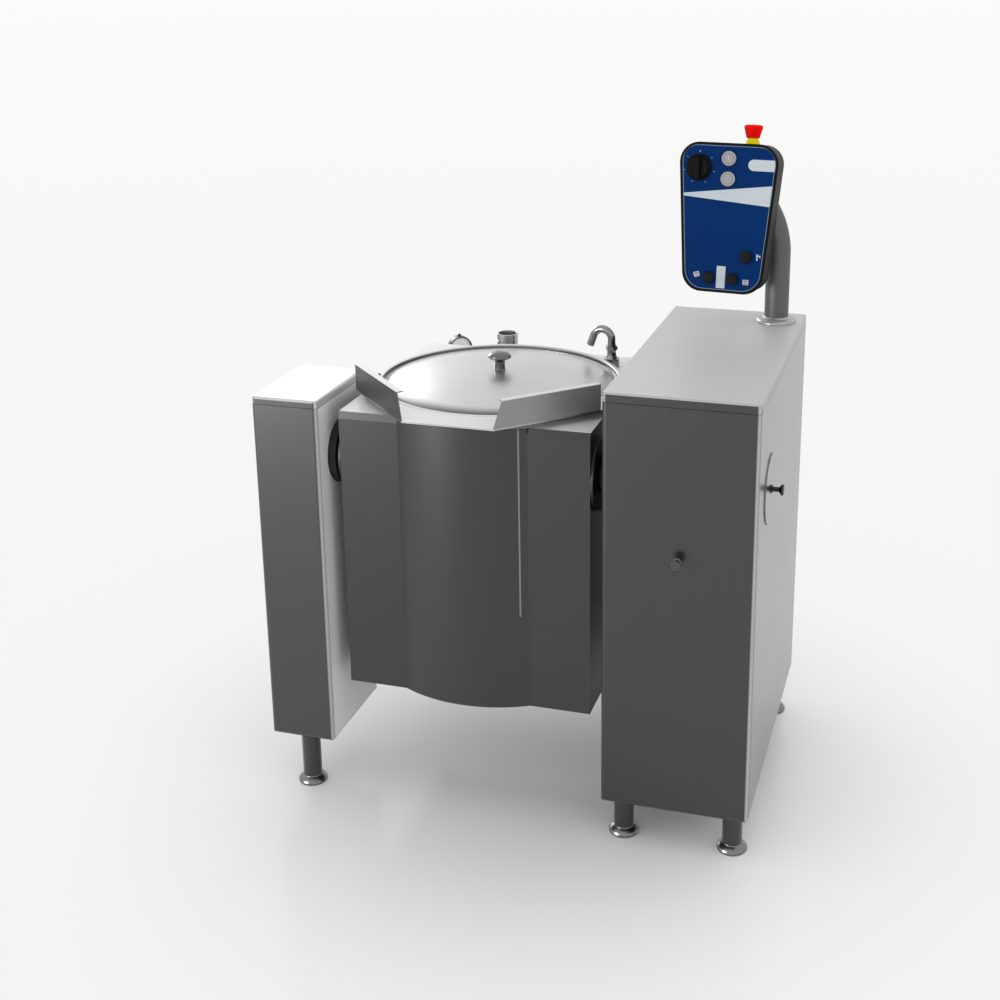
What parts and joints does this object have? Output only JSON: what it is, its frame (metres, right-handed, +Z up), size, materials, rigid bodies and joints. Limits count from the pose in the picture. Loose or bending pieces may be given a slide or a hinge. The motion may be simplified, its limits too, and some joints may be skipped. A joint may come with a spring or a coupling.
{
  "type": "tilting cooking kettle",
  "caption": "Freestanding steam-jacketed cooking kettle that tilts between a control cabinet and a support column, with a lift-off lid, a swivel tap and a panel on a post.",
  "frame": {"origin": "middle of the footprint on the floor", "axes": "+Z up, the cook stands at -Y and pours towards -Y, the control cabinet is at +X"},
  "size_m": [0.9866, 0.678, 1.3055],
  "materials": {
    "brushed_steel": "fine brushed stainless steel",
    "satin_steel": "satin stainless steel",
    "polished_steel": "polished stainless steel",
    "plain_steel": "plain sheet and bar steel",
    "gear_steel": "machined gear steel",
    "cast_iron": "machined cast iron",
    "bronze": "turned bronze",
    "rubber": "black rubber",
    "motor_paint": "grey-blue machine paint",
    "housing_paint": "satin dark grey paint",
    "box_paint": "light grey powder coat",
    "black_plastic": "black plastic",
    "dark_plastic": "dark grey plastic",
    "navy_foil": "navy panel foil",
    "grey_plastic": "light grey plastic",
    "red_plastic": "red plastic",
    "yellow_plastic": "yellow plastic",
    "pointer_paint": "black paint"
  },
  "bodies": {
    "stand": {"control_cabinet": "brushed_steel", "cabinet_cap": "brushed_steel", "cabinet_floor": "plain_steel", "rear_cover": "brushed_steel", "side_cover": "brushed_steel", "hanger_peg": "polished_steel", "cabinet_legs": "brushed_steel", "cabinet_feet": "polished_steel", "support_column": "brushed_steel", "column_cap": "brushed_steel", "column_floor": "plain_steel", "column_leg": "brushed_steel", "column_foot": "polished_steel", "bearing_left": "cast_iron", "bearing_right": "cast_iron", "trunnion_bushes": "bronze", "seal_left": "rubber", "seal_right": "rubber", "motor_bracket": "plain_steel", "gear_motor": "motor_paint", "electronics_box": "box_paint", "post": "brushed_steel", "post_flange": "polished_steel", "panel_housing": "housing_paint", "panel_rim": "black_plastic", "fascia": "navy_foil", "stop_collar": "yellow_plastic", "contact_blocks": "dark_plastic"},
    "kettle": {"casing": "brushed_steel", "deck": "brushed_steel", "casing_floor": "brushed_steel", "side_frames": "plain_steel", "inner_vessel": "satin_steel", "steam_jacket": "plain_steel", "heating_rods": "plain_steel", "rim_ring": "satin_steel", "pouring_lip": "satin_steel", "guard_left": "satin_steel", "guard_right": "satin_steel", "seam_strip": "brushed_steel", "trunnion_left": "satin_steel", "trunnion_right": "satin_steel", "sector_gear": "gear_steel", "service_box": "brushed_steel", "safety_valve": "polished_steel", "pressure_gauge": "polished_steel", "tap_body": "polished_steel"},
    "lid": {"lid_dome": "satin_steel", "lid_knob": "polished_steel"},
    "tap_spout": {"tap_spout": "polished_steel"},
    "gauge_pointer": {"gauge_pointer": "pointer_paint"},
    "pinion": {"pinion": "gear_steel"},
    "cover_latch": {"cover_latch": "polished_steel"},
    "mode_dial": {"mode_dial": "black_plastic"},
    "on_button": {"on_button": "grey_plastic"},
    "off_button": {"off_button": "grey_plastic"},
    "water_button": {"water_button": "black_plastic"},
    "tilt_up_button": {"tilt_up_button": "black_plastic"},
    "tilt_down_button": {"tilt_down_button": "black_plastic"},
    "stop_button": {"stop_button": "red_plastic"}
  },
  "joints": [
    {"name": "kettle_tilt", "type": "hinge", "parent": "stand", "child": "kettle", "pos_m": [-0.0855, -0.197, 0.71], "axis": [1, 0, 0], "range_deg": [0, 100]},
    {"name": "pinion_spin", "type": "hinge", "parent": "stand", "child": "pinion", "pos_m": [0.25425, -0.077, 0.71], "axis": [1, 0, 0], "range_deg": [-402, 2]},
    {"name": "lid_lift", "type": "slide", "parent": "kettle", "child": "lid", "axis": [0, 0, 1], "range_m": [0, 0.25]},
    {"name": "spout_swivel", "type": "hinge", "parent": "kettle", "child": "tap_spout", "pos_m": [0.09376, 0.15098, 0.85], "axis": [0, 0, 1], "range_deg": [-40, 60]},
    {"name": "pointer_turn", "type": "hinge", "parent": "kettle", "child": "gauge_pointer", "pos_m": [-0.26925, 0.246, 0.7965], "axis": [0.5446, -0.8387, 0], "range_deg": [-270, 0], "stiffness_Nm_per_rad": 0.002, "springref_deg": 17.19},
    {"name": "latch_turn", "type": "hinge", "parent": "stand", "child": "cover_latch", "pos_m": [0.46925, -0.159, 0.697], "axis": [1, 0, 0], "range_deg": [0, 90]},
    {"name": "dial_turn", "type": "hinge", "parent": "stand", "child": "mode_dial", "pos_m": [0.25882, 0.19904, 1.22127], "axis": [-0.1037, -0.9871, 0.1219], "range_deg": [-270, 0]},
    {"name": "on_button_press", "type": "slide", "parent": "stand", "child": "on_button", "axis": [0.1037, 0.9871, -0.1219], "range_m": [0, 0.003], "stiffness_N_per_m": 300, "springref_m": -0.002},
    {"name": "off_button_press", "type": "slide", "parent": "stand", "child": "off_button", "axis": [0.1037, 0.9871, -0.1219], "range_m": [0, 0.003], "stiffness_N_per_m": 300, "springref_m": -0.002},
    {"name": "water_button_press", "type": "slide", "parent": "stand", "child": "water_button", "axis": [0.1037, 0.9871, -0.1219], "range_m": [0, 0.003], "stiffness_N_per_m": 300, "springref_m": -0.002},
    {"name": "tilt_up_button_press", "type": "slide", "parent": "stand", "child": "tilt_up_button", "axis": [0.1037, 0.9871, -0.1219], "range_m": [0, 0.003], "stiffness_N_per_m": 300, "springref_m": -0.002},
    {"name": "tilt_down_button_press", "type": "slide", "parent": "stand", "child": "tilt_down_button", "axis": [0.1037, 0.9871, -0.1219], "range_m": [0, 0.003], "stiffness_N_per_m": 300, "springref_m": -0.002},
    {"name": "stop_press", "type": "slide", "parent": "stand", "child": "stop_button", "axis": [-0.0127, -0.1212, -0.9925], "range_m": [0, 0.004], "stiffness_N_per_m": 400, "springref_m": -0.004}
  ],
  "couplings": [
    {"joint": "pinion_spin", "follows": "kettle_tilt", "ratio": -4}
  ]
}
